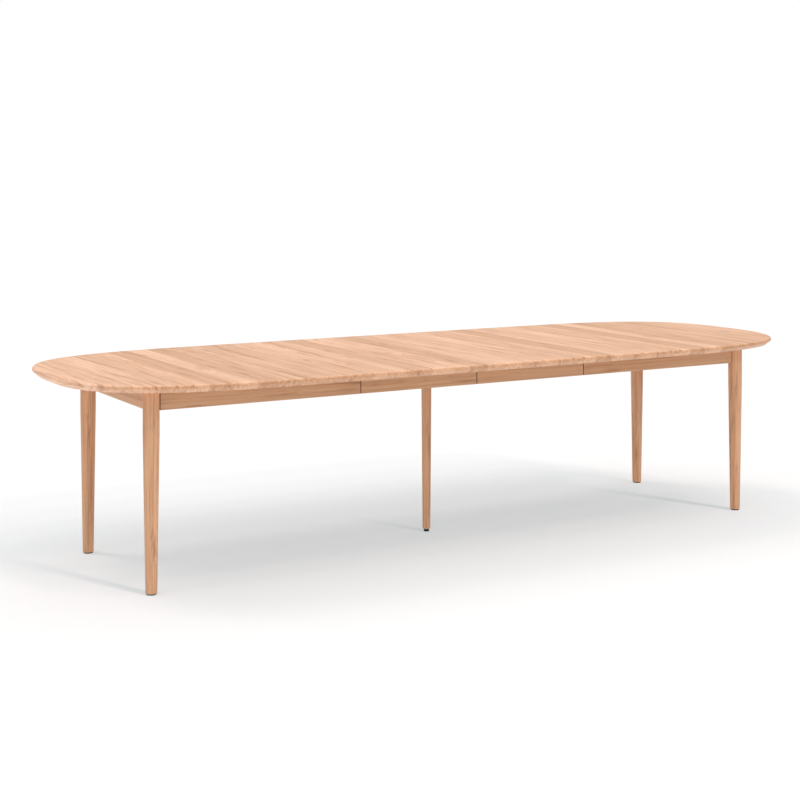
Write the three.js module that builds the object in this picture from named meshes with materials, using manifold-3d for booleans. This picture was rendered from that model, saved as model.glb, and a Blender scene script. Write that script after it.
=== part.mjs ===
// Extendable oak dining table, shown extended: two half tops on four tapered legs,
// two lift-off leaves between them, and a centre frame of two slide beams that
// stands on its own slim centre leg with a screw-adjusted foot.
//
// Millimetres. +X runs along the table, +Y is towards the back, +Z is up, and the
// origin is on the floor under the middle of the table. Both halves are the same
// piece of furniture, and so are both leaves: each is made once for the +X side,
// and turned half a turn about Z for the -X side.

import * as THREE from 'three';
import { mergeVertices } from 'three/addons/utils/BufferGeometryUtils.js';
import Module from 'manifold-3d';

const wasm = await Module();
wasm.setup();

// ---------------------------------------------------------------- driving sizes

// Table top
const closedLength = 2130;
const tableWidth = 1080;
const tableHeight = 723;
const leafWidth = 500;
const topThickness = 27;
const endPower = 2.8;          // how square the ends of the closed table's outline are
const sidePower = 4.15;        // and how straight its long sides, where an ellipse has 2
const outlineSteps = 26;       // straight steps per quarter of the outline
const topRound = 8;            // round along the upper edge
const bevelInset = 18;         // slanted underside of the edge, inwards
const bevelHeight = 15;        // and upwards
const topSeam = 0.6;           // gap between neighbouring tops

// Aprons
const apronHeight = 75;
const apronThickness = 22;
const apronSeam = 3;           // gap between neighbouring aprons

// Corner legs
const legInsetEnd = 266;       // leg axis from the end of the top
const legInsetSide = 213;      // leg axis from the side of the top
const legDiameter = 57;
const legFootDiameter = 40;
const legStraight = 152;       // untapered length below the top
const footChamfer = 2;
const legSides = 32;

// Glides under the corner legs
const glideDiameter = 34;
const glideThickness = 4;
const glidePinDiameter = 7;
const glidePinLength = 14;

// Corner blocks and the bolts that draw the legs in
const blockGap = 27;           // clear space between leg and block
const blockThickness = 24;
const blockHeight = 55;
const blockDrop = 5;           // below the underside of the top
const boltDiameter = 8;
const boltDepthInLeg = 22;
const boltTail = 12;           // beyond the block
const nutWidth = 13;
const nutHeight = 6.5;
const washerDiameter = 20;
const washerThickness = 1.6;

// Slide beams, runners and stops
const beamWidth = 40;
const beamHeight = 48;
const beamDrop = 0.5;          // top of the beams below the underside of the tops
const grooveHeight = 11;
const grooveDepth = 10;
const runnerWidth = 24;
const runnerHeight = 45;
const runnerToApron = 71;
const runnerSetback = 5;       // from the seam edge of the half
const runnerEndClear = 88;     // from the end apron
const slideClearance = 1;      // between beam and runner
const tongueClearance = 0.6;   // all round the tongue
const railWidth = 45;
const railHeight = 20;
const railSetback = 80;        // from the seam edge of the half
const railClearance = 1.5;     // under the beams
const overTravel = 40;         // how far each half pulls out past its closed-up place
const stopLength = 30;
const stopHeight = 20;
const beamEndMargin = 5;

// Members that tie the beams together
const memberWidth = 60;
const memberHeight = 24;
const memberEndInset = 340;    // outer members, from the ends of the beams
const centreMemberWidth = 100;

// Centre leg, offset a little from the middle of the frame
const centreLegX = -25;
const centreLegY = -8;
const centreLegDiameter = 39.5;
const centreLegFootDiameter = 31;
const legPlateWidth = 84;
const legPlateThickness = 4;
const legBoltDiameter = 10;
const legBoltDepth = 40;
const legNutWidth = 17;
const legNutHeight = 7;

// Adjustable foot under the centre leg
const padDiameter = 21;
const padHeight = 8.5;
const collarWidth = 17;
const collarHeight = 2;
const collarGap = 0.7;         // left between collar and leg when screwed right in
const stemDiameter = 10;
const stemLength = 45;

// Leaf battens, which drop between the beams
const battenWidth = 60;
const battenHeight = 20;
const battenClearance = 2;

// Locating pins along the seams, measured in from the side of the table
const pinInsetNear = 120;
const pinInsetFar = 160;
const pinDiameter = 10;
const pinProud = 12;
const pinDepth = 18;

// Clearances
const jointGap = 0.3;          // between pieces that are glued or screwed together
const pinClearance = 0.4;      // round a pin or bolt in its hole
const pinEndClearance = 1;

// --------------------------------------------------------------- derived places

const halfWidth = tableWidth / 2;
const topUnderside = tableHeight - topThickness;
const apronTop = topUnderside - jointGap;
const apronBottom = apronTop - apronHeight;
const legX = closedLength / 2 - legInsetEnd;
const legY = halfWidth - legInsetSide;
const legRadius = legDiameter / 2;
const apronInnerX = legX - apronThickness / 2;
const apronInnerY = legY - apronThickness / 2;
const runnerOuterY = apronInnerY - runnerToApron;
const runnerInnerY = runnerOuterY - runnerWidth;
const beamOuterY = runnerInnerY - slideClearance;
const beamInnerY = beamOuterY - beamWidth;
const beamTop = topUnderside - beamDrop;
const beamBottom = beamTop - beamHeight;
const beamMiddle = (beamTop + beamBottom) / 2;
const beamReach = leafWidth + railSetback + railWidth + overTravel + stopLength + beamEndMargin;
const memberTop = beamBottom + memberHeight;
const memberY = beamInnerY - jointGap;
const plateTop = beamBottom - jointGap;
const centreLegTop = plateTop - legPlateThickness - jointGap;
const collarBottom = padHeight + jointGap;
const centreLegBottom = collarBottom + collarHeight + collarGap;
const legBottom = glideThickness + jointGap;
const pinHeight = tableHeight - topThickness / 2;
const blockNear = legRadius + blockGap;
const boltLevel = topUnderside - blockDrop - blockHeight / 2;
const ownPins = [halfWidth - pinInsetNear, pinInsetFar - halfWidth];
const otherPins = [pinInsetNear - halfWidth, halfWidth - pinInsetFar];

// -------------------------------------------------------------------- materials

const finishes = {
  oakTop: { color: 0xe3bd9b, roughness: 0.55, metalness: 0 },
  oakApron: { color: 0xd0a27e, roughness: 0.6, metalness: 0 },
  oakLeg: { color: 0xd3a783, roughness: 0.6, metalness: 0 },
  beech: { color: 0xcfa87c, roughness: 0.7, metalness: 0 },
  steel: { color: 0x9a9b9d, roughness: 0.35, metalness: 1 },
  blackPlastic: { color: 0x1b1a19, roughness: 0.5, metalness: 0 },
};

function finish(name) {
  return new THREE.MeshStandardMaterial(finishes[name]);
}

// ---------------------------------------------------------------- solid helpers

// A closed three.js geometry as a manifold-3d solid.
function solid(geometry) {
  const bare = geometry.index ? geometry.toNonIndexed() : geometry.clone();
  bare.deleteAttribute('normal');
  bare.deleteAttribute('uv');
  const merged = mergeVertices(bare, 1e-4);
  return new wasm.Manifold(new wasm.Mesh({
    numProp: 3,
    vertProperties: Float32Array.from(merged.attributes.position.array),
    triVerts: Uint32Array.from(merged.index.array),
  }));
}

// The result of joining and cutting, back as a three.js geometry.
function toGeometry(shape) {
  const data = shape.getMesh();
  const geometry = new THREE.BufferGeometry();
  geometry.setAttribute('position', new THREE.BufferAttribute(data.vertProperties, 3));
  geometry.setIndex(new THREE.BufferAttribute(data.triVerts, 1));
  geometry.computeVertexNormals();
  return geometry;
}

// A box between two corners.
function box(low, high) {
  const size = high.map((value, axis) => value - low[axis]);
  const middle = high.map((value, axis) => (value + low[axis]) / 2);
  return new THREE.BoxGeometry(...size).translate(...middle);
}

// A solid turned about the Z axis from [radius, height] points, axis to axis.
function turned(points, sides = legSides) {
  const profile = points.map(([radius, height]) => new THREE.Vector2(radius, height));
  return new THREE.LatheGeometry(profile, sides).rotateX(Math.PI / 2);
}

// A round bar along Z.
function bar(radius, low, high, sides = legSides) {
  return turned([[0, low], [radius, low], [radius, high], [0, high]], sides);
}

// A hexagonal bar along Z, measured across its flats.
function hexBar(width, low, high) {
  return bar(width / Math.sqrt(3), low, high, 6);
}

function mesh(name, geometry, finishName) {
  const piece = new THREE.Mesh(geometry, finish(finishName));
  piece.name = name;
  return piece;
}

// ------------------------------------------------------------------------- tops

// A slab with the table's edge all round: rounded above, a slant below.
function edgedSlab(points) {
  const shape = new THREE.Shape(points.map(([x, y]) => new THREE.Vector2(x, y)));
  const overlap = 2 * topThickness;
  const under = new THREE.ExtrudeGeometry(shape, {
    depth: overlap,
    bevelSize: bevelInset,
    bevelOffset: -bevelInset,
    bevelThickness: bevelHeight,
    bevelSegments: 1,
  }).translate(0, 0, topUnderside + bevelHeight);
  const upper = new THREE.ExtrudeGeometry(shape, {
    depth: overlap,
    bevelSize: topRound,
    bevelOffset: -topRound,
    bevelThickness: topRound,
    bevelSegments: 4,
  }).translate(0, 0, tableHeight - topRound - overlap);
  return solid(under).intersect(solid(upper));
}

// The closed table's outline, a superellipse with one exponent for its ends and one
// for its long sides.
function closedOutline() {
  const points = [];
  const count = 4 * outlineSteps;
  for (let step = 0; step < count; step += 1) {
    const angle = (2 * Math.PI * step) / count;
    const along = Math.abs(Math.cos(angle)) ** (2 / sidePower);
    const across = Math.abs(Math.sin(angle)) ** (2 / endPower);
    points.push([
      Math.sign(Math.cos(angle)) * along * closedLength / 2,
      Math.sign(Math.sin(angle)) * across * halfWidth,
    ]);
  }
  return points;
}

// A blind round hole in a seam edge, from x = mouth going towards +X.
function seamHole(y, mouth, depth) {
  const radius = pinDiameter / 2 + pinClearance;
  return solid(bar(radius, -pinEndClearance, depth, 20)
    .rotateY(Math.PI / 2)
    .translate(mouth, y, pinHeight));
}

// The +X half top of the closed table, with its own pins' holes and the holes
// that take the other half's pins when the table is closed without leaves.
function halfTop() {
  const edge = topSeam / 2;
  let top = edgedSlab(closedOutline()).intersect(solid(box(
    [edge, -tableWidth, 0],
    [closedLength, tableWidth, 2 * tableHeight],
  )));
  for (const y of ownPins) {
    top = top.subtract(seamHole(y, edge, pinDepth + pinEndClearance));
  }
  for (const y of otherPins) {
    top = top.subtract(seamHole(y, edge, pinProud + pinEndClearance));
  }
  return toGeometry(top);
}

// The +X leaf. Slots open downwards in its outer edge, so that it drops over the
// pins of the half next to it.
function leafTop() {
  const spare = 100;
  const slab = edgedSlab([
    [-spare, -halfWidth],
    [leafWidth + spare, -halfWidth],
    [leafWidth + spare, halfWidth],
    [-spare, halfWidth],
  ]);
  const outerEdge = leafWidth - topSeam / 2;
  let leaf = slab.intersect(solid(box(
    [topSeam / 2, -tableWidth, 0],
    [outerEdge, tableWidth, 2 * tableHeight],
  )));
  const slotHalf = pinDiameter / 2 + pinClearance;
  for (const y of ownPins) {
    leaf = leaf.subtract(solid(box(
      [leafWidth - pinProud - pinEndClearance, y - slotHalf, topUnderside - 1],
      [leafWidth + 1, y + slotHalf, pinHeight + slotHalf],
    )));
  }
  return toGeometry(leaf);
}

function locatingPin(y) {
  const edge = topSeam / 2;
  return bar(pinDiameter / 2, edge - pinProud, edge + pinDepth, 16)
    .rotateY(Math.PI / 2)
    .translate(0, y, pinHeight);
}

// ------------------------------------------------------------------------- legs

// Straight below the top, then tapering evenly to the floor, on its own Z axis.
// The foot is bored for the pin or screw that it stands on.
function legSolid(diameter, footDiameter, low, high, bore) {
  const top = diameter / 2;
  const foot = footDiameter / 2;
  const taperStart = topUnderside - legStraight;
  const body = solid(turned([
    [0, low],
    [foot - footChamfer, low],
    [foot, low + footChamfer],
    [top, taperStart],
    [top, high],
    [0, high],
  ]));
  return body.subtract(solid(bar(bore.radius, low - 1, low + bore.depth, 16)));
}

// What stands at a corner is made on the leg's own axis for the +X +Y corner, where
// the middle of the table lies along the diagonal (-1, -1), and then moved there.
function atCorner(side, geometry) {
  const turn = side > 0 ? 0 : -Math.PI / 2;
  return geometry.rotateZ(turn).translate(legX, side * legY, 0);
}

// A piece made along Z, laid along the diagonal at the height of the leg bolt.
function alongDiagonal(geometry) {
  return geometry.rotateY(Math.PI / 2).rotateZ((5 * Math.PI) / 4).translate(0, 0, boltLevel);
}

function cornerLeg() {
  const leg = legSolid(legDiameter, legFootDiameter, legBottom, apronTop, {
    radius: glidePinDiameter / 2 + jointGap,
    depth: glidePinLength + jointGap,
  });
  const holeRadius = boltDiameter / 2 + jointGap;
  const hole = bar(holeRadius, legRadius - boltDepthInLeg - jointGap, legDiameter, 16);
  return toGeometry(leg.subtract(solid(alongDiagonal(hole))));
}

function glide() {
  const pinRadius = glidePinDiameter / 2;
  return turned([
    [0, 0],
    [glideDiameter / 2 - 1, 0],
    [glideDiameter / 2, 1],
    [glideDiameter / 2, glideThickness],
    [pinRadius, glideThickness],
    [pinRadius, glideThickness + glidePinLength],
    [0, glideThickness + glidePinLength],
  ], 24);
}

// A block glued across the corner between the two aprons, square to the diagonal.
function cornerBlock() {
  const face = -apronThickness / 2 - jointGap;
  const outer = blockNear * Math.SQRT2 + 2 * face;
  const inner = outer + blockThickness * Math.SQRT2;
  const shape = new THREE.Shape([
    new THREE.Vector2(face - outer, face),
    new THREE.Vector2(face, face - outer),
    new THREE.Vector2(face, face - inner),
    new THREE.Vector2(face - inner, face),
  ]);
  const blank = new THREE.ExtrudeGeometry(shape, { depth: blockHeight, bevelEnabled: false });
  blank.translate(0, 0, topUnderside - blockDrop - blockHeight);
  const hole = bar(boltDiameter / 2 + pinClearance, legRadius, blockNear + 2 * blockThickness, 16);
  return toGeometry(solid(blank).subtract(solid(alongDiagonal(hole))));
}

// The bolt from leg to block, with its washer and nut.
function legBolt() {
  const seat = blockNear + blockThickness + jointGap;
  const washerTop = seat + washerThickness;
  const bolt = solid(bar(boltDiameter / 2, legRadius - boltDepthInLeg, seat + boltTail, 16))
    .add(solid(bar(washerDiameter / 2, seat, washerTop, 20)))
    .add(solid(hexBar(nutWidth, washerTop - jointGap, washerTop + nutHeight)));
  return alongDiagonal(toGeometry(bolt));
}

// ----------------------------------------------------------------------- aprons

// An apron along the side of a half, hollowed at its end to fit the round leg.
function sideApron(side) {
  const middle = side * legY;
  const blank = solid(box(
    [apronSeam / 2, middle - apronThickness / 2, apronBottom],
    [legX, middle + apronThickness / 2, apronTop],
  ));
  const leg = bar(legRadius + jointGap, apronBottom - 1, apronTop + 1);
  return toGeometry(blank.subtract(solid(leg.translate(legX, middle, 0))));
}

function endApron() {
  let apron = solid(box(
    [legX - apronThickness / 2, -legY, apronBottom],
    [legX + apronThickness / 2, legY, apronTop],
  ));
  for (const side of [-1, 1]) {
    const leg = bar(legRadius + jointGap, apronBottom - 1, apronTop + 1);
    apron = apron.subtract(solid(leg.translate(legX, side * legY, 0)));
  }
  return toGeometry(apron);
}

function leafApron(side) {
  const middle = side * legY;
  return box(
    [apronSeam / 2, middle - apronThickness / 2, apronBottom],
    [leafWidth - apronSeam / 2, middle + apronThickness / 2, apronTop],
  );
}

// A batten under the middle of a leaf, which keeps it flat and drops between the
// beams to line the leaf up across the table.
function leafBatten() {
  const middle = leafWidth / 2;
  const reach = beamInnerY - battenClearance;
  return box(
    [middle - battenWidth / 2, -reach, topUnderside - jointGap - battenHeight],
    [middle + battenWidth / 2, reach, topUnderside - jointGap],
  );
}

// ------------------------------------------------------------- slides and stops

// A beam reaches under both halves, with a groove along its outer side.
function slideBeam(side) {
  const along = beamReach;
  const beam = solid(box(
    [-along, beamInnerY, beamBottom],
    [along, beamOuterY, beamTop],
  ));
  const groove = solid(box(
    [-along - 1, beamOuterY - grooveDepth, beamMiddle - grooveHeight / 2],
    [along + 1, beamOuterY + 1, beamMiddle + grooveHeight / 2],
  ));
  const turn = side > 0 ? 0 : Math.PI;
  return toGeometry(beam.subtract(groove)).rotateZ(turn);
}

// A runner is screwed under each half, and its tongue slides in the groove.
function runner(side) {
  const start = runnerSetback;
  const end = apronInnerX - runnerEndClear;
  const body = solid(box(
    [start, runnerInnerY, apronTop - runnerHeight],
    [end, runnerOuterY, apronTop],
  ));
  const tongueReach = grooveDepth + slideClearance - tongueClearance;
  const tongueHalf = grooveHeight / 2 - tongueClearance;
  const tongue = solid(box(
    [start, runnerInnerY - tongueReach, beamMiddle - tongueHalf],
    [end, runnerInnerY + 1, beamMiddle + tongueHalf],
  ));
  const geometry = toGeometry(body.add(tongue));
  if (side > 0) {
    return geometry;
  }
  return geometry.rotateZ(Math.PI).translate(start + end, 0, 0);
}

// The rail ties the aprons of a half together below the beams.
function crossRail() {
  const top = beamBottom - railClearance;
  const reach = apronInnerY - jointGap;
  return box(
    [railSetback, -reach, top - railHeight],
    [railSetback + railWidth, reach, top],
  );
}

// The rail comes up against this block at the end of its travel.
function stopBlock(end, side) {
  const outer = beamReach - beamEndMargin;
  const top = beamBottom - jointGap;
  const block = box(
    [outer - stopLength, beamInnerY, top - stopHeight],
    [outer, beamOuterY, top],
  );
  const alongShift = end > 0 ? 0 : stopLength - 2 * outer;
  const acrossShift = side > 0 ? 0 : -beamInnerY - beamOuterY;
  return block.translate(alongShift, acrossShift, 0);
}

// ----------------------------------------------------------------- centre frame

function frameMember(middle, width, hole) {
  const blank = box(
    [middle - width / 2, -memberY, beamBottom],
    [middle + width / 2, memberY, memberTop],
  );
  return hole ? toGeometry(solid(blank).subtract(solid(hole))) : blank;
}

function throughCentreLeg(radius, low, high) {
  return bar(radius, low, high, 20).translate(centreLegX, centreLegY, 0);
}

function centreMember() {
  const hole = throughCentreLeg(legBoltDiameter / 2 + pinClearance, 0, tableHeight);
  return frameMember(centreLegX, centreMemberWidth, hole);
}

function legPlate() {
  const half = legPlateWidth / 2;
  const plate = solid(box(
    [centreLegX - half, centreLegY - half, plateTop - legPlateThickness],
    [centreLegX + half, centreLegY + half, plateTop],
  ));
  const hole = throughCentreLeg(legBoltDiameter / 2 + pinClearance, 0, tableHeight);
  return toGeometry(plate.subtract(solid(hole)));
}

function centreLeg() {
  const leg = legSolid(centreLegDiameter, centreLegFootDiameter, centreLegBottom, centreLegTop, {
    radius: stemDiameter / 2 + pinClearance,
    depth: stemLength - collarHeight - collarGap + pinEndClearance,
  });
  const holeLow = centreLegTop - legBoltDepth - pinEndClearance;
  const hole = bar(legBoltDiameter / 2 + jointGap, holeLow, centreLegTop + 1, 20);
  return toGeometry(leg.subtract(solid(hole))).translate(centreLegX, centreLegY, 0);
}

// The bolt from the centre leg up through plate and member, with its nut.
function centreLegBolt() {
  const seat = memberTop + jointGap;
  const rod = solid(bar(legBoltDiameter / 2, centreLegTop - legBoltDepth, seat + legNutHeight, 20));
  const nut = solid(hexBar(legNutWidth, seat, seat + legNutHeight));
  return toGeometry(rod.add(nut)).translate(centreLegX, centreLegY, 0);
}

// ------------------------------------------------------------- adjustable foot

function footPad() {
  return turned([
    [0, 0],
    [padDiameter / 2 - 1, 0],
    [padDiameter / 2, 1],
    [padDiameter / 2, padHeight - 1.5],
    [padDiameter / 2 - 1.5, padHeight],
    [0, padHeight],
  ], 24).translate(centreLegX, centreLegY, 0);
}

function footStem() {
  const collar = solid(hexBar(collarWidth, collarBottom, collarBottom + collarHeight));
  const rod = solid(bar(stemDiameter / 2, collarBottom, collarBottom + stemLength, 20));
  return toGeometry(rod.add(collar)).translate(centreLegX, centreLegY, 0);
}

// --------------------------------------------------------------------- assembly

const table = new THREE.Group();

// One end of the table: its half, pulled out by a leaf's width, and its leaf.
function tableEnd(name, turn) {
  const end = new THREE.Group();
  const half = new THREE.Group();
  const facing = turn === 0 ? { '1': 'back', '-1': 'front' } : { '1': 'front', '-1': 'back' };
  half.position.x = leafWidth;
  half.add(mesh(`${name}_top`, halfTop(), 'oakTop'));
  half.add(mesh(`${name}_apron_end`, endApron(), 'oakApron'));
  half.add(mesh(`${name}_cross_rail`, crossRail(), 'beech'));
  ownPins.forEach((y) => {
    half.add(mesh(`${name}_pin_${facing[Math.sign(y)]}`, locatingPin(y), 'beech'));
  });
  end.add(mesh(`${name}_leaf`, leafTop(), 'oakTop'));
  end.add(mesh(`${name}_leaf_batten`, leafBatten(), 'beech'));
  for (const side of [-1, 1]) {
    const where = facing[side];
    half.add(mesh(`${name}_apron_${where}`, sideApron(side), 'oakApron'));
    half.add(mesh(`${name}_leg_${where}`, atCorner(side, cornerLeg()), 'oakLeg'));
    half.add(mesh(`${name}_glide_${where}`, atCorner(side, glide()), 'blackPlastic'));
    half.add(mesh(`${name}_corner_block_${where}`, atCorner(side, cornerBlock()), 'beech'));
    half.add(mesh(`${name}_leg_bolt_${where}`, atCorner(side, legBolt()), 'steel'));
    half.add(mesh(`${name}_runner_${where}`, runner(side), 'beech'));
    end.add(mesh(`${name}_leaf_apron_${where}`, leafApron(side), 'oakApron'));
  }
  end.add(half);
  end.rotation.z = turn;
  return end;
}

table.add(tableEnd('right', 0));
table.add(tableEnd('left', Math.PI));

for (const side of [-1, 1]) {
  const where = side > 0 ? 'back' : 'front';
  table.add(mesh(`beam_${where}`, slideBeam(side), 'beech'));
  for (const end of [-1, 1]) {
    const name = `stop_${end > 0 ? 'right' : 'left'}_${where}`;
    table.add(mesh(name, stopBlock(end, side), 'beech'));
  }
}
for (const end of [-1, 1]) {
  const middle = end * (beamReach - memberEndInset);
  const name = `member_${end > 0 ? 'right' : 'left'}`;
  table.add(mesh(name, frameMember(middle, memberWidth), 'beech'));
}
table.add(mesh('member_centre', centreMember(), 'beech'));
table.add(mesh('centre_leg_plate', legPlate(), 'steel'));
table.add(mesh('centre_leg_bolt', centreLegBolt(), 'steel'));
table.add(mesh('centre_leg', centreLeg(), 'oakLeg'));
table.add(mesh('foot_stem', footStem(), 'steel'));
table.add(mesh('foot_pad', footPad(), 'blackPlastic'));

export default table;
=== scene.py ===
import math

import bmesh
import bpy
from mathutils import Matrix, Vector

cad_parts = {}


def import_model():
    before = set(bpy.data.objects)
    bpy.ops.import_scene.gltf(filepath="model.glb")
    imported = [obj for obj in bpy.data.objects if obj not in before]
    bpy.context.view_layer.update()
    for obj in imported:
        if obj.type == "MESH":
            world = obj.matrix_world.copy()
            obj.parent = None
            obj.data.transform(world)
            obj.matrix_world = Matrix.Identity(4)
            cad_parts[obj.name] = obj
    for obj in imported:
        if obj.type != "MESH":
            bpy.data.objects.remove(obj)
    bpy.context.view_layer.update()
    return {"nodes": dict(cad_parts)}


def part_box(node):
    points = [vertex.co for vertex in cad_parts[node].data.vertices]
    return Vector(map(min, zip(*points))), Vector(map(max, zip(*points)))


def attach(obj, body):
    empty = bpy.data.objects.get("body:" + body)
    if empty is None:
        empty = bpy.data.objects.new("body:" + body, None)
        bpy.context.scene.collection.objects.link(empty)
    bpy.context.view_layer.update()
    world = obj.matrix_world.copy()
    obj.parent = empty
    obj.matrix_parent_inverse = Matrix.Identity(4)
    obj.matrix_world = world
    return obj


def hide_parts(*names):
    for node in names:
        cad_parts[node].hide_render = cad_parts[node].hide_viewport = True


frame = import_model()

MM = 0.001
FINE = "fine_"                     # first part of the name of each finely made piece
SMOOTH_BELOW = 32                  # degrees between faces that are shaded as one surface
BORE_SIDES = 32

# Outline and edge of the table top, as the CAD model has them.
END_POWER = 2.8
SIDE_POWER = 4.15
TOP_ROUND = 8 * MM
BEVEL_INSET = 18 * MM
BEVEL_HEIGHT = 15 * MM
UPPER_ARRIS = 3 * MM               # round between the upright part of the edge and its slant
LOWER_ARRIS = 1.5 * MM             # round between the slant and the underside
CAP_INSET = 40 * MM                # where the flat faces of the tops begin
OUTLINE_STEPS = 220                # round half a table

SIDES = {"left": -1, "right": 1}
DEPTHS = {"front": -1, "back": 1}


# ------------------------------------------------------------------ small geometry

def fillet(points, radii, steps=4):
    """Rounds the corners of an open 2-D line; radii has one number for each inner point."""
    rounded = [Vector(points[0])]
    for index, radius in enumerate(radii, start=1):
        before, corner, after = (Vector(points[index + k]) for k in (-1, 0, 1))
        towards = (before - corner).normalized()
        away = (after - corner).normalized()
        half = towards.angle(away) / 2
        reach = radius / math.tan(half)
        start = corner + towards * reach
        end = corner + away * reach
        middle = corner + (towards + away).normalized() * (radius / math.sin(half))
        for step in range(steps + 1):
            first = (start - middle).normalized()
            last = (end - middle).normalized()
            spoke = first.slerp(last, step / steps)
            rounded.append(middle + spoke * radius)
    rounded.append(Vector(points[-1]))
    return rounded


def new_object(name, vertices, faces, material):
    mesh = bpy.data.meshes.new(name)
    mesh.from_pydata([tuple(v) for v in vertices], [], faces)
    work = bmesh.new()
    work.from_mesh(mesh)
    bmesh.ops.remove_doubles(work, verts=work.verts, dist=1e-6)
    bmesh.ops.recalc_face_normals(work, faces=work.faces)
    work.to_mesh(mesh)
    work.free()
    piece = bpy.data.objects.new(name, mesh)
    bpy.context.scene.collection.objects.link(piece)
    mesh.materials.append(material)
    smooth(piece)
    return piece


def smooth(piece):
    piece.data.polygons.foreach_set("use_smooth", [True] * len(piece.data.polygons))
    piece.data.set_sharp_from_angle(angle=math.radians(SMOOTH_BELOW))


def apply_modifiers(piece):
    """Keeps the piece's mesh as its modifiers leave it."""
    graph = bpy.context.evaluated_depsgraph_get()
    done = bpy.data.meshes.new_from_object(piece.evaluated_get(graph))
    piece.modifiers.clear()
    piece.data = done
    smooth(piece)


def ease_edges(piece, width, segments=3, angle=40):
    """Rounds the edges that turn by more than the angle."""
    bevel = piece.modifiers.new("eased", "BEVEL")
    bevel.width = width
    bevel.segments = segments
    bevel.limit_method = "ANGLE"
    bevel.angle_limit = math.radians(angle)


def cut(piece, cutters):
    """Takes the cutters out of the piece, and removes them."""
    for cutter in cutters:
        boolean = piece.modifiers.new("cut", "BOOLEAN")
        boolean.operation = "DIFFERENCE"
        boolean.solver = "EXACT"
        boolean.object = cutter
    apply_modifiers(piece)
    for cutter in cutters:
        bpy.data.objects.remove(cutter)


def loft(name, rings, material, closed=True):
    """Joins rings of equal length, and closes the first and the last with a face. Where
    closed is false, the rings are open lines, and a flat face closes the open side."""
    count = len(rings[0])
    vertices = [point for ring in rings for point in ring]
    faces = []
    for ring in range(len(rings) - 1):
        for index in range(count if closed else count - 1):
            following = (index + 1) % count
            low = ring * count
            high = low + count
            faces.append((low + index, low + following, high + following, high + index))
    faces.append(tuple(reversed(range(count))))
    last = (len(rings) - 1) * count
    faces.append(tuple(range(last, last + count)))
    if not closed:
        starts = [ring * count for ring in range(len(rings))]
        ends = [start + count - 1 for start in starts]
        faces.append(tuple(starts + list(reversed(ends))))
    return new_object(name, vertices, faces, material)


def turned(name, profile, place, material, sides):
    """A solid turned about an upright axis, from (radius, height) points."""
    rings = []
    for radius, height in profile:
        ring = []
        for step in range(sides):
            angle = 2 * math.pi * step / sides
            ring.append(Vector((
                place.x + radius * math.cos(angle),
                place.y + radius * math.sin(angle),
                height,
            )))
        rings.append(ring)
    return loft(name, rings, material)


def bore(y, z, radius, near, far):
    """A cutter for a round hole along X."""
    rings = []
    for x in (near, far):
        ring = []
        for step in range(BORE_SIDES):
            angle = 2 * math.pi * step / BORE_SIDES
            ring.append(Vector((
                x,
                y + radius * math.cos(angle),
                z + radius * math.sin(angle),
            )))
        rings.append(ring)
    return loft("bore", rings, cutter_look)


def prism(name, outline, low, high, material):
    """An upright solid with the outline, between two heights."""
    rings = [[Vector((x, y, z)) for x, y in outline] for z in (low, high)]
    return loft(name, rings, material)


# ----------------------------------------------------------------------- node tools

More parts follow.
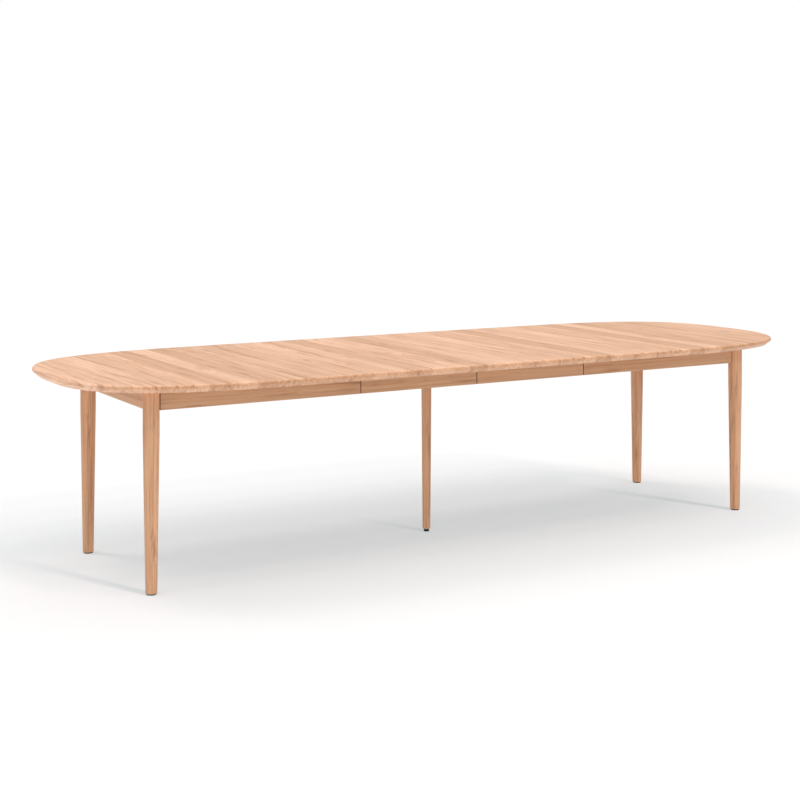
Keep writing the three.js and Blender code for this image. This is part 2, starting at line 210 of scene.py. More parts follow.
class Nodes:
    """Builds one material's node tree with short calls."""

    def __init__(self, name):
        self.material = bpy.data.materials.new(name)
        self.material.use_nodes = True
        self.tree = self.material.node_tree
        self.shader = self.tree.nodes["Principled BSDF"]

    def add(self, kind, **values):
        node = self.tree.nodes.new(kind)
        for key, value in values.items():
            setattr(node, key, value)
        return node

    def feed(self, socket, value):
        if isinstance(value, bpy.types.NodeSocket):
            self.tree.links.new(value, socket)
        else:
            socket.default_value = value

    def math(self, operation, first, second=0.0, third=0.0):
        node = self.add("ShaderNodeMath", operation=operation)
        self.feed(node.inputs[0], first)
        self.feed(node.inputs[1], second)
        self.feed(node.inputs[2], third)
        return node.outputs[0]

    def grain_axes(self, axis):
        """The place on the object, as (along, side, depth) of wood whose grain runs along
        the axis "X", "Y" or "Z"."""
        x, y, z = self.split(self.add("ShaderNodeTexCoord").outputs["Object"])
        return {"X": (x, y, z), "Y": (y, x, z), "Z": (z, x, y)}[axis]

    def split(self, vector):
        node = self.add("ShaderNodeSeparateXYZ")
        self.feed(node.inputs[0], vector)
        return list(node.outputs)

    def split_colour(self, colour):
        node = self.add("ShaderNodeSeparateColor")
        self.feed(node.inputs[0], colour)
        return list(node.outputs)

    def join(self, x, y, z):
        node = self.add("ShaderNodeCombineXYZ")
        for socket, value in zip(node.inputs, (x, y, z)):
            self.feed(socket, value)
        return node.outputs[0]

    def noise(self, vector, scale=1.0, detail=3.0, roughness=0.5, distortion=0.0):
        node = self.add("ShaderNodeTexNoise", noise_dimensions="3D")
        self.feed(node.inputs["Vector"], vector)
        self.feed(node.inputs["Scale"], scale)
        self.feed(node.inputs["Detail"], detail)
        self.feed(node.inputs["Roughness"], roughness)
        self.feed(node.inputs["Distortion"], distortion)
        return node.outputs[0]

    def cells(self, dimensions, feature, socket, value, randomness=1.0):
        """The outputs of a Voronoi texture that is fed at the socket "W" or "Vector"."""
        node = self.add("ShaderNodeTexVoronoi", voronoi_dimensions=dimensions, feature=feature)
        node.inputs["Scale"].default_value = 1.0
        node.inputs["Randomness"].default_value = randomness
        self.feed(node.inputs[socket], value)
        return node.outputs

    def ramp(self, value, low, high, out_low=0.0, out_high=1.0, interpolation="LINEAR"):
        node = self.add("ShaderNodeMapRange")
        node.interpolation_type = interpolation
        for socket, number in zip(node.inputs, (value, low, high, out_low, out_high)):
            self.feed(socket, number)
        return node.outputs[0]

    def soft_ramp(self, value, low, high, out_low=0.0, out_high=1.0):
        return self.ramp(value, low, high, out_low, out_high, "SMOOTHSTEP")

    def drawn_out(self, axes, scales, offset=0.0):
        """A place that is stretched along the grain. The scales are the numbers of
        features in a metre along the grain and across it."""
        along, across, deep = axes
        lengthwise, crosswise = scales
        return self.join(
            self.math("MULTIPLY", along, lengthwise),
            self.math("MULTIPLY_ADD", across, crosswise, offset),
            self.math("MULTIPLY", deep, crosswise),
        )

    def mix(self, factor, first, second, blend="MIX"):
        node = self.add("ShaderNodeMix", data_type="RGBA", blend_type=blend)
        self.feed(node.inputs[0], factor)
        self.feed(node.inputs[6], first)
        self.feed(node.inputs[7], second)
        return node.outputs[2]

    def times(self, first, second):
        """Two colours multiplied."""
        return self.mix(1.0, first, second, "MULTIPLY")

    def bump(self, height, strength, distance):
        node = self.add("ShaderNodeBump")
        node.inputs["Strength"].default_value = strength
        node.inputs["Distance"].default_value = distance
        self.feed(node.inputs["Height"], height)
        return node.outputs[0]

    def finish(self, colour, roughness, bump):
        self.feed(self.shader.inputs["Base Color"], colour)
        self.feed(self.shader.inputs["Roughness"], roughness)
        self.feed(self.shader.inputs["Normal"], bump)
        return self.material


# ------------------------------------------------------------------------ materials

LIGHT_OAK = (0.905, 0.562, 0.377, 1)
MID_OAK = (0.815, 0.474, 0.298, 1)
DARK_OAK = (0.430, 0.212, 0.110, 1)
PORE_OAK = (0.300, 0.150, 0.080, 1)
NO_TINT = (1, 1, 1, 1)
STAVE_TONES = ((0.945, 0.92, 0.885, 1), (1.18, 1.215, 1.26, 1))
END_MARK = (0.72, 0.66, 0.58, 1)
RING = 3.2 * MM                    # one year's growth
WANDER = 30 * MM                   # how far the rings wander to either side
KNOT_PUSH = 12 * MM                # how far a knot pushes the rings aside

# Where staves are glued up: how unequal they are, how far a stave's heart lies to
# either side of its middle, and how far above the heart it was sawn.
STAVE_SPREAD = 0.6
STAVE_LEAN = 100 * MM
STAVE_SAWN = (8 * MM, 90 * MM)
STAVE_SHIFT = 17.0                 # sets each stave's figure apart from its neighbour's

# Features in a metre, along the grain and across it.
DRIFT_SCALES = (1.5, 6)
STREAK_SCALES = (2.0, 120)
FLAME_SCALES = (3.6, 42)
PORE_SCALES = (55, 1500)
KNOT_SCALES = (2.3, 9.0)
BAND_SCALES = (0.6, 70)
MARK_SCALES = (30, 260)

# How far each feature takes the colour to the dark one.
DARK_YEARS = 0.60
FLAMES = 0.46
LATE_WOOD = 0.18
STREAKS = 0.36
PORES = 0.30
KNOTS = 0.75
STAVE_SEAM = 0.22
END_MARKS = 0.50


def stave_place(n, side, depth, depth_heart, width, seed):
    """(tone, offset, across, deep, seam) where the wood is glued up from staves side by
    side. Across and deep count from the heart of the stave's own tree."""
    row = n.math("MULTIPLY_ADD", side, 1 / width, seed)
    cells = n.cells("1D", "F1", "W", row, STAVE_SPREAD)
    middle = n.math("MULTIPLY", n.math("SUBTRACT", cells["W"], seed), width)
    tone, lean, shift = n.split_colour(cells["Color"])
    local = n.math("SUBTRACT", side, middle)
    across = n.math("ADD", local, n.ramp(lean, 0, 1, -STAVE_LEAN, STAVE_LEAN))
    below_top = n.math("SUBTRACT", depth, depth_heart)
    deep = n.math("ADD", below_top, n.ramp(shift, 0, 1, *STAVE_SAWN))
    offset = n.math("MULTIPLY", shift, STAVE_SHIFT)
    borders = n.cells("1D", "DISTANCE_TO_EDGE", "W", row, STAVE_SPREAD)
    seam = n.ramp(borders["Distance"], 0.0, 0.009, STAVE_SEAM, 0)
    return tone, offset, across, deep, seam


def knots(n, along, across, offset):
    """(eye, swirl): the dark eyes of a few knots, and how near they are."""
    lengthwise, crosswise = KNOT_SCALES
    place = n.join(
        n.math("MULTIPLY", along, lengthwise),
        n.math("MULTIPLY_ADD", across, crosswise, offset),
        offset,
    )
    cells = n.cells("3D", "F1", "Vector", place)
    chosen = n.ramp(n.split_colour(cells["Color"])[0], 0.86, 0.88)
    swirl = n.math("MULTIPLY", n.soft_ramp(cells["Distance"], 0.0, 0.26, 1, 0), chosen)
    eye = n.math("MULTIPLY", n.soft_ramp(cells["Distance"], 0.015, 0.07, 1, 0), chosen)
    return eye, swirl


def year_rings(n, axes, swirl, offset):
    """(bands, late): slow and fast years, and the late wood of each single year. The
    rings wander slowly along the tree, and turn aside near a knot."""
    along, across, deep = axes
    drift = n.noise(n.drawn_out(axes, DRIFT_SCALES, offset), 1.0, 2.0, 0.45)
    wander = n.ramp(drift, 0, 1, -WANDER, WANDER)
    squares = n.math("ADD", n.math("POWER", across, 2.0), n.math("POWER", deep, 2.0))
    pushed = n.math("MULTIPLY_ADD", swirl, KNOT_PUSH, wander)
    radius = n.math("ADD", n.math("SQRT", squares), pushed)
    lengthwise, crosswise = BAND_SCALES
    band_place = n.join(
        n.math("MULTIPLY", radius, crosswise),
        n.math("MULTIPLY_ADD", along, lengthwise, offset),
        offset,
    )
    bands = n.noise(band_place, 1.0, 3.0, 0.6)
    always_positive = n.math("ADD", radius, 10.0)
    phase = n.math("FRACT", n.math("DIVIDE", always_positive, RING))
    rise = n.soft_ramp(phase, 0.45, 0.92)
    fall = n.soft_ramp(phase, 0.92, 1.0, 1, 0)
    return bands, n.math("MULTIPLY", rise, fall)


def end_grain(n, axis, side, depth, offset, tint):
    """(end, look): where the surface cuts the grain, and its tint there, with the short
    slanted marks of rays and torn fibres."""
    facing = n.split(n.add("ShaderNodeTexCoord").outputs["Normal"])["XYZ".index(axis)]
    end = n.soft_ramp(n.math("ABSOLUTE", facing), 0.35, 0.95)
    slanted, crosswise = MARK_SCALES
    place = n.join(
        n.math("MULTIPLY", n.math("ADD", side, depth), slanted),
        n.math("MULTIPLY", depth, crosswise),
        offset,
    )
    marks = n.noise(place, 1.0, 3.0, 0.65)
    look = n.mix(n.ramp(marks, 0.42, 0.68, 0, END_MARKS), tint, n.times(tint, END_MARK))
    return end, look


def oak(name, axis, heart, stave=None, tint=NO_TINT, end_tint=NO_TINT, seed=0.0, figure=1.0):
    """Natural oak, as a solid texture. Year rings run round the heart of the tree,
    which lies along the given axis at the (side, depth) in heart. Pores and fine
    streaks run along the grain, and figure is how strongly they show. Where stave is a
    width, the wood is glued up from staves of about that width side by side along X,
    each with a heart and a tone of its own. End grain drinks more oil, so it is
    darker, by end_tint; on the aprons, whose ends sit in the joints with the legs and
    with each other, end_tint is also painted shade. tint darkens the whole piece; on
    the legs and aprons it is painted shade."""
    n = Nodes(name)
    along, side, depth = n.grain_axes(axis)
    side_heart, depth_heart = heart
    if stave:
        tone, offset, across, deep, seam = stave_place(n, side, depth, depth_heart, stave, seed)
    else:
        offset = seed
        across = n.math("SUBTRACT", side, side_heart)
        deep = n.math("SUBTRACT", depth, depth_heart)
    axes = (along, across, deep)
    eye, swirl = knots(n, along, across, offset)
    bands, late = year_rings(n, axes, swirl, offset)
    streaks = n.noise(n.drawn_out(axes, STREAK_SCALES, offset), 1.0, 4.0, 0.6)
    flames = n.noise(n.drawn_out(axes, FLAME_SCALES, offset), 1.0, 4.0, 0.62, 0.4)
    pore_noise = n.noise(n.drawn_out(axes, PORE_SCALES, offset), 1.0, 2.0, 0.5)
    pores = n.soft_ramp(pore_noise, 0.60, 0.74)

    colour = n.mix(n.soft_ramp(bands, 0.38, 0.64), LIGHT_OAK, MID_OAK)
    dark_bands = n.soft_ramp(bands, 0.57, 0.74)
    dark_years = n.math("MULTIPLY", dark_bands, n.soft_ramp(flames, 0.40, 0.58, 0.1, 1))
    colour = n.mix(n.math("MULTIPLY", dark_years, DARK_YEARS * figure), colour, DARK_OAK)
    colour = n.mix(n.soft_ramp(flames, 0.53, 0.70, 0, FLAMES * figure), colour, DARK_OAK)
    colour = n.mix(n.math("MULTIPLY", late, LATE_WOOD), colour, DARK_OAK)
    colour = n.mix(n.ramp(streaks, 0.46, 0.68, 0, STREAKS * figure), colour, DARK_OAK)
    colour = n.mix(n.math("MULTIPLY", pores, PORES * figure), colour, PORE_OAK)
    colour = n.mix(n.math("MULTIPLY", eye, KNOTS), colour, PORE_OAK)
    if stave:
        colour = n.times(colour, n.mix(tone, *STAVE_TONES))
        colour = n.mix(seam, colour, PORE_OAK)
    colour = n.times(colour, tint)
    # End grain is darker; on the aprons this end tint is also painted shade in the joints.
    end, end_look = end_grain(n, axis, side, depth, offset, end_tint)
    colour = n.mix(end, colour, n.times(colour, end_look))

    rough = n.ramp(streaks, 0.3, 0.7, 0.40, 0.52)
    rough = n.math("ADD", rough, n.math("MULTIPLY", pores, 0.15))
    dips = n.math("ADD", pores, n.math("MULTIPLY", late, 0.2))
    height = n.math("SUBTRACT", n.math("MULTIPLY", streaks, 0.25), dips)
    n.shader.inputs["IOR"].default_value = 1.45
    return n.finish(colour, rough, n.bump(height, 0.35, 0.12 * MM))


LIGHT_BEECH = (0.69, 0.45, 0.29, 1)
MID_BEECH = (0.56, 0.34, 0.20, 1)
FLECK_BEECH = (0.36, 0.19, 0.10, 1)


def beech(name, axis):
    """Plain planed beech with its short dark flecks, for what is out of sight."""
    n = Nodes(name)
    axes = n.grain_axes(axis)
    flecks = n.soft_ramp(n.noise(n.drawn_out(axes, (260, 1900)), 1.0, 2.0, 0.5), 0.58, 0.72)
    streaks = n.noise(n.drawn_out(axes, (2.5, 90)), 1.0, 3.0, 0.55)
    colour = n.mix(n.ramp(streaks, 0.3, 0.7), LIGHT_BEECH, MID_BEECH)
    colour = n.mix(n.math("MULTIPLY", flecks, 0.35), colour, FLECK_BEECH)
    rough = n.ramp(streaks, 0.3, 0.7, 0.58, 0.70)
    return n.finish(colour, rough, n.bump(flecks, 0.3, -0.08 * MM))


def zinc(name):
    """Zinc-plated steel: faint spangle and fine scratches."""
    n = Nodes(name)
    place = n.add("ShaderNodeTexCoord").outputs["Object"]
    spangle = n.noise(place, 260.0, 3.0, 0.6)
    fine = n.noise(place, 2600.0, 2.0, 0.6)
    shade = n.ramp(spangle, 0.35, 0.65)
    colour = n.mix(shade, (0.50, 0.51, 0.53, 1), (0.66, 0.67, 0.68, 1))
    rough = n.ramp(spangle, 0.3, 0.7, 0.28, 0.46)
    n.shader.inputs["Metallic"].default_value = 1.0
    return n.finish(colour, rough, n.bump(fine, 0.15, 0.03 * MM))


def black_plastic(name):
    """Moulded black plastic with a fine matt grain."""
    n = Nodes(name)
    place = n.add("ShaderNodeTexCoord").outputs["Object"]
    grain = n.noise(place, 2200.0, 3.0, 0.6)
    wear = n.noise(place, 90.0, 3.0, 0.6)
    shade = n.ramp(wear, 0.4, 0.7)
    colour = n.mix(shade, (0.004, 0.004, 0.004, 1), (0.009, 0.009, 0.009, 1))
    rough = n.ramp(grain, 0.3, 0.7, 0.42, 0.62)
    return n.finish(colour, rough, n.bump(grain, 0.25, 0.05 * MM))


# --------------------------------------------------------------------- top and leaves

STAVE = 84 * MM                    # about how wide the staves are
TOP_FIGURE = 1.25
EDGE_TINT = (0.87, 0.79, 0.69, 1)
HALF_SEEDS = {"left": 31.6, "right": 7.3}
LEAF_SEEDS = {"left": 5.6, "right": 12.9}
SEAM_HALF = 0.3 * MM               # from the middle of a seam to the half top
PIN_CLEARANCE = 0.4 * MM
PIN_END_CLEARANCE = 1 * MM
SLOT_DROP = 20 * MM                # takes the slots out through the underside

cutter_look = bpy.data.materials.new("cutter")


def edge_profile(low, high):
    """(inset, height) points round the edge of a top, from underside to upper face."""
    line = [
        (CAP_INSET, low),
        (BEVEL_INSET, low),
        (0.0, low + BEVEL_HEIGHT),
        (0.0, high),
        (CAP_INSET, high),
    ]
    return fillet(line, (LOWER_ARRIS, UPPER_ARRIS, TOP_ROUND))


def half_outline(length, half_width, inset):
    """Half of the closed table's superellipse, from the seam round to the seam."""
    points = []
    for step in range(OUTLINE_STEPS + 1):
        angle = math.pi * (step / OUTLINE_STEPS - 0.5)
        cosine, sine = abs(math.cos(angle)), abs(math.sin(angle))
        x = length * cosine ** (2 / SIDE_POWER)
        y = math.copysign(half_width * sine ** (2 / END_POWER), angle)
        slope = Vector((
            SIDE_POWER * (x / length) ** (SIDE_POWER - 1) / length,
            math.copysign(END_POWER * (abs(y) / half_width) ** (END_POWER - 1) / half_width, y),
        )).normalized()
        at_seam = step in (0, OUTLINE_STEPS)
        inner_x = SEAM_HALF if at_seam else max(x - slope.x * inset, SEAM_HALF)
        points.append((inner_x, y - slope.y * inset))
    return points


def pins_of(name):
    """(low, high) of the boxes of the two pins in a half."""
    return [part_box(f"{name}_pin_{depth_name}") for depth_name in DEPTHS]


def drill_half(top, name, seam):
    """Holes for the half's own pins, and for the other half's when the table is closed."""
    sign = SIDES[name]
    cutters = []
    for low, high in pins_of(name):
        y, z = (low.y + high.y) / 2, (low.z + high.z) / 2
        radius = (high.z - low.z) / 2 + PIN_CLEARANCE
        ends = sorted((low.x, high.x), key=abs)
        proud = seam - abs(ends[0]) + PIN_END_CLEARANCE
        outside = sign * (seam - PIN_END_CLEARANCE)
        cutters.append(bore(y, z, radius, outside, ends[1] + sign * PIN_END_CLEARANCE))
        cutters.append(bore(-y, z, radius, outside, sign * (seam + proud)))
    cut(top, cutters)


def slot_leaf(leaf, name, seam):
    """Slots, open downwards, with which the leaf drops over the pins of the half."""
    sign = SIDES[name]
    cutters = []
    for low, high in pins_of(name):
        inner = min(abs(low.x), abs(high.x)) - PIN_END_CLEARANCE
        outer = seam + PIN_END_CLEARANCE
        front, back = low.y - PIN_CLEARANCE, high.y + PIN_CLEARANCE
        corners = ((inner, front), (outer, front), (outer, back), (inner, back))
        outline = [(sign * x, y) for x, y in corners]
        bottom = low.z - SLOT_DROP
        cutters.append(prism("slot", outline, bottom, high.z + PIN_CLEARANCE, cutter_look))
    cut(leaf, cutters)


def top_oak(node, height, seed):
    return oak(f"oak_{node}", "Y", (0, height), STAVE, NO_TINT, EDGE_TINT, seed, TOP_FIGURE)


def fine_half(name):
    node = f"{name}_top"
    sign = SIDES[name]
    low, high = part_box(node)
    seam = low.x - SEAM_HALF if sign > 0 else -high.x - SEAM_HALF
    length = high.x - low.x + SEAM_HALF
    rings = []
    for inset, height in edge_profile(low.z, high.z):
        ring = half_outline(length, high.y, inset)
        rings.append([Vector((sign * (seam + x), sign * y, height)) for x, y in ring])
    top = loft(FINE + node, rings, top_oak(node, high.z, HALF_SEEDS[name]), closed=False)
    drill_half(top, name, seam)
    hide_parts(node)
    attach(top, f"{name}_half")


def fine_leaf(name):
    node = f"{name}_leaf"
    low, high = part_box(node)
    profile = edge_profile(low.z, high.z)
    front = [(low.y + inset, height) for inset, height in profile]
    back = [(high.y - inset, height) for inset, height in reversed(profile)]
    rings = [[Vector((x, y, z)) for y, z in front + back] for x in (low.x, high.x)]
    leaf = loft(FINE + node, rings, top_oak(node, high.z, LEAF_SEEDS[name]))
    slot_leaf(leaf, name, max(abs(low.x), abs(high.x)))
    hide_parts(node)
    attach(leaf, f"{name}_leaf")


for side_name in SIDES:
    fine_half(side_name)
    fine_leaf(side_name)


# ------------------------------------------------------------------------------ legs

LEG_STRAIGHT = 152 * MM            # from the underside of the top to where the taper begins
LEG_FOOT = {"corner": 40 * MM, "centre": 31 * MM}
LEG_FOOT_ROUND = 1 * MM
LEG_BEND = 1600 * MM               # radius with which the straight part runs into the taper
LEG_SIDES = 72
LEG_HEART = (-31 * MM, 22 * MM)    # from the leg's axis to the heart of its tree
# Painted shade: the legs' oak is darker and warmer than the top's, as upright faces that get less
# light.
LEG_PAINTED_SHADE = (0.90, 0.818, 0.704, 1)
LEG_FIGURE = 1.6


def fine_leg(node, body, foot_diameter, seed):
    """A turned leg: straight at the top, then tapered down to the foot."""
    low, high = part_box(node)
    place = (low + high) / 2
    top_radius = (high.x - low.x) / 2
    foot_radius = foot_diameter / 2
    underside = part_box("right_leaf")[0].z
    line = [
        (0.0, low.z),
        (foot_radius, low.z),
        (top_radius, underside - LEG_STRAIGHT),
        (top_radius, high.z),
    ]
    profile = fillet(line, (LEG_FOOT_ROUND, LEG_BEND), steps=6)
    heart = (place.x + LEG_HEART[0], place.y + LEG_HEART[1])
    # The leg's tint is painted shade for its upright faces.
    material = oak(f"oak_{node}", "Z", heart, tint=LEG_PAINTED_SHADE, seed=seed, figure=LEG_FIGURE)
    leg = turned(FINE + node, profile[1:], place, material, LEG_SIDES)
    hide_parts(node)
    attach(leg, body)


for side_name in SIDES:
    for depth_name in DEPTHS:
        leg_seed = 2.7 * SIDES[side_name] + 1.3 * DEPTHS[depth_name] + 9
        fine_leg(f"{side_name}_leg_{depth_name}", f"{side_name}_half", LEG_FOOT["corner"], leg_seed)
fine_leg("centre_leg", "centre_frame", LEG_FOOT["centre"], 21.4)


# ------------------------------------------------------------------------------ feet

FOOT_SIDES = 48
GLIDE_PIN_RADIUS = 3.5 * MM
GLIDE_ROUNDS = (1.2 * MM, 0.4 * MM, 0.2 * MM)
LEG_SEAT = 0.3 * MM                # between the glide's upper face and the leg
PAD_ROUNDS = (1.0 * MM, 1.6 * MM)
STEM_RADIUS = 5 * MM
COLLAR_WIDTH = 17 * MM             # across the flats of the stem's collar
COLLAR_HEIGHT = 2 * MM
COLLAR_EASE = 0.3 * MM
THREAD_PITCH = 1.5 * MM
THREAD_DEPTH = 0.8 * MM
THREAD_SIDES = 24
THREAD_STEPS = 6                   # rings to each turn of the thread

moulded = black_plastic("moulded_black")
zinc_plate = zinc("zinc_plate")


def foot_piece(piece, node, body):
    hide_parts(node)
    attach(piece, body)


def fine_glide(side_name, depth_name):
    """A plastic disc under the leg, with a pin that goes up into it."""
    node = f"{side_name}_glide_{depth_name}"
    low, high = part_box(node)
    radius = (high.x - low.x) / 2
    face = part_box(f"{side_name}_leg_{depth_name}")[0].z - LEG_SEAT
    line = [
        (0.0, low.z),
        (radius, low.z),
        (radius, face),
        (GLIDE_PIN_RADIUS, face),
        (GLIDE_PIN_RADIUS, high.z),
    ]
    profile = fillet(line, GLIDE_ROUNDS)
    glide = turned(FINE + node, profile[1:], (low + high) / 2, moulded, FOOT_SIDES)
    foot_piece(glide, node, f"{side_name}_half")


def fine_pad():
    low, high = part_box("foot_pad")
    radius = (high.x - low.x) / 2
    line = [(0.0, low.z), (radius, low.z), (radius, high.z), (0.0, high.z)]
    profile = fillet(line, PAD_ROUNDS)
    pad = turned(FINE + "foot_pad", profile[1:-1], (low + high) / 2, moulded, FOOT_SIDES)
    foot_piece(pad, "foot_pad", "foot_pad")


def fine_stem():
    """The threaded rod, and the hexagonal collar that turns it."""
    low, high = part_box("foot_stem")
    place = (low + high) / 2
    rod_low = low.z + COLLAR_HEIGHT / 2
    count = math.ceil((high.z - rod_low) / THREAD_PITCH * THREAD_STEPS)
    rings = []
    for step in range(count + 1):
        height = rod_low + (high.z - rod_low) * step / count
        ring = []
        for side in range(THREAD_SIDES):
            turn = side / THREAD_SIDES
            groove = 0.5 - 0.5 * math.cos(2 * math.pi * (height / THREAD_PITCH - turn))
            radius = STEM_RADIUS - THREAD_DEPTH * groove
            angle = 2 * math.pi * turn
            ring.append(Vector((
                place.x + radius * math.cos(angle),
                place.y + radius * math.sin(angle),
                height,
            )))
        rings.append(ring)
    stem = loft(FINE + "foot_stem", rings, zinc_plate)
    foot_piece(stem, "foot_stem", "foot_stem")
    reach = COLLAR_WIDTH / math.sqrt(3)
    hexagon = []
    for corner in range(6):
        angle = math.pi * corner / 3
        hexagon.append((
            place.x + reach * math.cos(angle),
            place.y + reach * math.sin(angle),
        ))
    collar = prism(FINE + "foot_collar", hexagon, low.z, low.z + COLLAR_HEIGHT, zinc_plate)
    ease_edges(collar, COLLAR_EASE)
    apply_modifiers(collar)
    foot_piece(collar, "foot_stem", "foot_stem")


for side_name in SIDES:
    for depth_name in DEPTHS:
        fine_glide(side_name, depth_name)
fine_pad()
fine_stem()


# ---------------------------------------------------------------------------- aprons

APRON_EASE = 0.8 * MM
APRON_EASE_ANGLE = 35
COPE_GAP = 0.3 * MM
COPE_STEPS = 8
GROOVE_WIDTH = 2.6 * MM            # shadow groove between an apron's outer face and the leg
GROOVE_DEPTH = 6.0 * MM
# Painted shade: the aprons' oak is darkened and warmed all over, as if in shade under the top.
APRON_PAINTED_SHADE = (0.780, 0.742, 0.637, 1)
# Darker end grain, and also painted shade in the joints, where the aprons' ends meet the legs and
# each other.
APRON_END_GRAIN_AND_JOINT_SHADE = (0.36, 0.31, 0.27, 1)


def cope(leg_node, apron_half, towards, groove_side):
    """Points of an apron's hollowed end, seen from above, in the order in which the
    angle round the leg grows. towards is the unit direction from the leg into the
    apron. A shadow groove is cut at the apron's outer face, which the last point lies
    on where groove_side is 1, and the first where it is -1."""
    low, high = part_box(leg_node)
    centre = (low + high) / 2
    radius = (high.x - low.x) / 2 + COPE_GAP
    middle = math.atan2(towards[1], towards[0])
    across = (-towards[1], towards[0])

    def angle_at(offset):
        return math.asin(offset / radius)

    inner = angle_at(apron_half)
    outer = angle_at(apron_half - GROOVE_DEPTH)
    first, last = (-outer, inner) if groove_side < 0 else (-inner, outer)
    points = []
    for step in range(COPE_STEPS + 1):
        angle = middle + first + (last - first) * step / COPE_STEPS
        points.append((centre.x + radius * math.cos(angle), centre.y + radius * math.sin(angle)))
    reach = radius * math.cos(inner) + GROOVE_WIDTH
    groove = []
    for offset in (apron_half - GROOVE_DEPTH, apron_half):
        groove.append(tuple(
            centre[axis] + towards[axis] * reach + across[axis] * offset * groove_side
            for axis in (0, 1)
        ))
    return points + groove if groove_side > 0 else list(reversed(groove)) + points


def finish_apron(apron, node, body):
    ease_edges(apron, APRON_EASE, angle=APRON_EASE_ANGLE)
    apply_modifiers(apron)
    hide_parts(node)
    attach(apron, body)


def apron_oak(node, axis, middle, top, heart, seed):
    """Oak whose heart lies at (sideways, upwards) from the apron's middle and top."""
    place = (middle + heart[0], top + heart[1])
    # The apron's tint is painted shade under the top, and its end tint is partly painted shade in
    # the joints.
    return oak(f"oak_{node}", axis, place, None, APRON_PAINTED_SHADE, APRON_END_GRAIN_AND_JOINT_SHADE, seed)


def side_apron(side_name, depth_name):
    node = f"{side_name}_apron_{depth_name}"
    sign = SIDES[side_name]
    low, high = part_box(node)
    seam_x = low.x if sign > 0 else high.x
    outer_side = -sign * DEPTHS[depth_name]
    hollow = cope(f"{side_name}_leg_{depth_name}", (high.y - low.y) / 2, (-sign, 0), outer_side)
    outline = hollow + [(seam_x, hollow[-1][1]), (seam_x, hollow[0][1])]
    seed = 4.4 * sign + DEPTHS[depth_name] + 30
    middle = (low.y + high.y) / 2
    material = apron_oak(node, "X", middle, high.z, (60 * MM, 20 * MM), seed)
    apron = prism(FINE + node, outline, low.z, high.z, material)
    finish_apron(apron, node, f"{side_name}_half")


def end_apron(side_name):
    node = f"{side_name}_apron_end"
    low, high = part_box(node)
    half = (high.x - low.x) / 2
    sign = SIDES[side_name]
    outline = cope(f"{side_name}_leg_front", half, (0, 1), -sign)
    outline += cope(f"{side_name}_leg_back", half, (0, -1), sign)
    middle = (low.x + high.x) / 2
    material = apron_oak(node, "Y", middle, high.z, (50 * MM, 30 * MM), 41.0 + sign)
    apron = prism(FINE + node, outline, low.z, high.z, material)
    finish_apron(apron, node, f"{side_name}_half")


def leaf_apron(side_name, depth_name):
    node = f"{side_name}_leaf_apron_{depth_name}"
    low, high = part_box(node)
    outline = [(low.x, low.y), (high.x, low.y), (high.x, high.y), (low.x, high.y)]
    seed = 52.0 + 3 * SIDES[side_name]
    middle = (low.y + high.y) / 2
    material = apron_oak(node, "X", middle, high.z, (-50 * MM, 30 * MM), seed)
    apron = prism(FINE + node, outline, low.z, high.z, material)
    finish_apron(apron, node, f"{side_name}_leaf")


for side_name in SIDES:
    end_apron(side_name)
    for depth_name in DEPTHS:
        side_apron(side_name, depth_name)
        leaf_apron(side_name, depth_name)


# ------------------------------------------------- what stays as the CAD model has it

HIDDEN_EASE = 1.0 * MM
beech_along = {axis: beech(f"beech_{axis.lower()}", axis) for axis in "XY"}


def carry_over(piece, material, ease):
    piece.data.materials.clear()
    piece.data.materials.append(material)
    if ease:
        ease_edges(piece, ease, segments=2)


for node, piece in frame["nodes"].items():
    if piece.hide_render:
        continue
    if "bolt" in node or "plate" in node:
        carry_over(piece, zinc_plate, 0)
    elif "rail" in node or "member" in node or "batten" in node:
        carry_over(piece, beech_along["Y"], HIDDEN_EASE)
    else:
        carry_over(piece, beech_along["X"], HIDDEN_EASE)


# ---------------------------------------------------------------------- floor, lights

# The floor reflects part of the light and gives off the rest itself. Its red is weighted
# to the reflected part and its blue to its own, so that the wood's warm bounce leaves
# the shadows neutral.
FLOOR_COLOUR = (0.68, 0.56, 0.515, 1)
FLOOR_GLOW = (0.236, 0.374, 0.426, 1)
FLOOR_REACH = 60.0
DOME_RADIUS = 70.0
SKY_STRENGTH = 0.37
RAYS = ("diffuse", "glossy", "transmission", "volume_scatter", "shadow")


def glowing(name, colour, roughness, glow):
    """A matt surface that also gives off light."""
    n = Nodes(name)
    n.feed(n.shader.inputs["Base Color"], colour)
    n.feed(n.shader.inputs["Roughness"], roughness)
    n.feed(n.shader.inputs["Specular IOR Level"], 0.0)
    n.feed(n.shader.inputs["Emission Color"], glow)
    n.feed(n.shader.inputs["Emission Strength"], 1.0)
    return n.material


def studio_floor():
    reach = FLOOR_REACH
    corners = [(-reach, -reach, 0), (reach, -reach, 0), (reach, reach, 0), (-reach, reach, 0)]
    look = glowing("studio_floor", FLOOR_COLOUR, 0.9, FLOOR_GLOW)
    new_object("floor", corners, [(0, 1, 2, 3)], look)


def backdrop():
    """A white dome that only the camera sees, so that it lights nothing."""
    mesh = bpy.data.meshes.new("backdrop")
    work = bmesh.new()
    bmesh.ops.create_uvsphere(work, u_segments=48, v_segments=24, radius=DOME_RADIUS)
    work.to_mesh(mesh)
    work.free()
    dome = bpy.data.objects.new("backdrop", mesh)
    bpy.context.scene.collection.objects.link(dome)
    mesh.materials.append(glowing("backdrop", (0, 0, 0, 1), 0.5, (1, 1, 1, 1)))
    for rays in RAYS:
        setattr(dome, f"visible_{rays}", False)


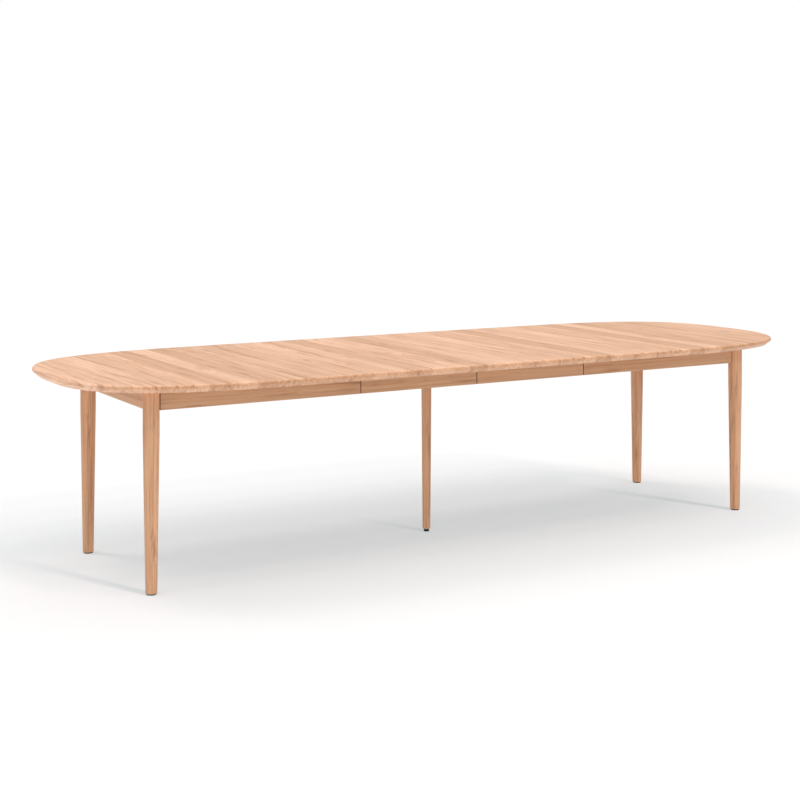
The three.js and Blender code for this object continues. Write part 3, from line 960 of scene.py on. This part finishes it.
def soft_sun(name, azimuth, elevation, spread, floor_light):
    """Parallel soft light. The azimuth is the direction it comes from, counted from
    +X; floor_light is what it gives the floor, where a full white sky gives 1."""
    light = bpy.data.lights.new(name, "SUN")
    light.angle = math.radians(spread)
    a, e = math.radians(azimuth), math.radians(elevation)
    light.energy = floor_light * math.pi / math.sin(e)
    lamp = bpy.data.objects.new(name, light)
    direction = Vector((math.cos(a) * math.cos(e), math.sin(a) * math.cos(e), math.sin(e)))
    lamp.rotation_euler = direction.to_track_quat("Z", "Y").to_euler()
    bpy.context.scene.collection.objects.link(lamp)


def world():
    sky = bpy.data.worlds.new("studio")
    sky.use_nodes = True
    background = sky.node_tree.nodes["Background"]
    background.inputs["Color"].default_value = (1, 1, 1, 1)
    background.inputs["Strength"].default_value = SKY_STRENGTH
    bpy.context.scene.world = sky


studio_floor()
backdrop()
world()

# The key and the fill are each several suns above one another, so that a leg's shadow is
# narrow and fades away from the foot, while that of the top is soft.
for height, strength in ((36, 0.08), (48, 0.06), (61, 0.05), (74, 0.04)):
    soft_sun(f"key_{height}", azimuth=-68, elevation=height, spread=5, floor_light=strength)
for height, strength in ((50, 0.05), (66, 0.08)):
    soft_sun(f"fill_{height}", azimuth=128, elevation=height, spread=13, floor_light=strength)
soft_sun("side", azimuth=-165, elevation=20, spread=60, floor_light=0.03)
soft_sun("overhead", azimuth=0, elevation=90, spread=76, floor_light=0.39)
bpy.context.scene.view_settings.view_transform = "Standard"


# ---------------------------------------------------------------------------- camera

CAMERA_PLACE = (-3.1829, -5.2726, 1.4413)
CAMERA_YAW = math.radians(29.980)
CAMERA_PITCH = math.radians(0.320)
CAMERA_SHIFT = -0.28               # lets the camera look almost level, so the legs stay parallel
LENS = 69.765                      # mm, on a sensor 36 mm wide


def camera():
    data = bpy.data.cameras.new("camera")
    data.sensor_width = 36.0
    data.lens = LENS
    data.shift_y = CAMERA_SHIFT
    data.clip_end = 200
    viewer = bpy.data.objects.new("camera", data)
    viewer.location = CAMERA_PLACE
    viewer.rotation_euler = (math.pi / 2 - CAMERA_PITCH, 0, -CAMERA_YAW)
    bpy.context.scene.collection.objects.link(viewer)
    bpy.context.scene.camera = viewer


camera()
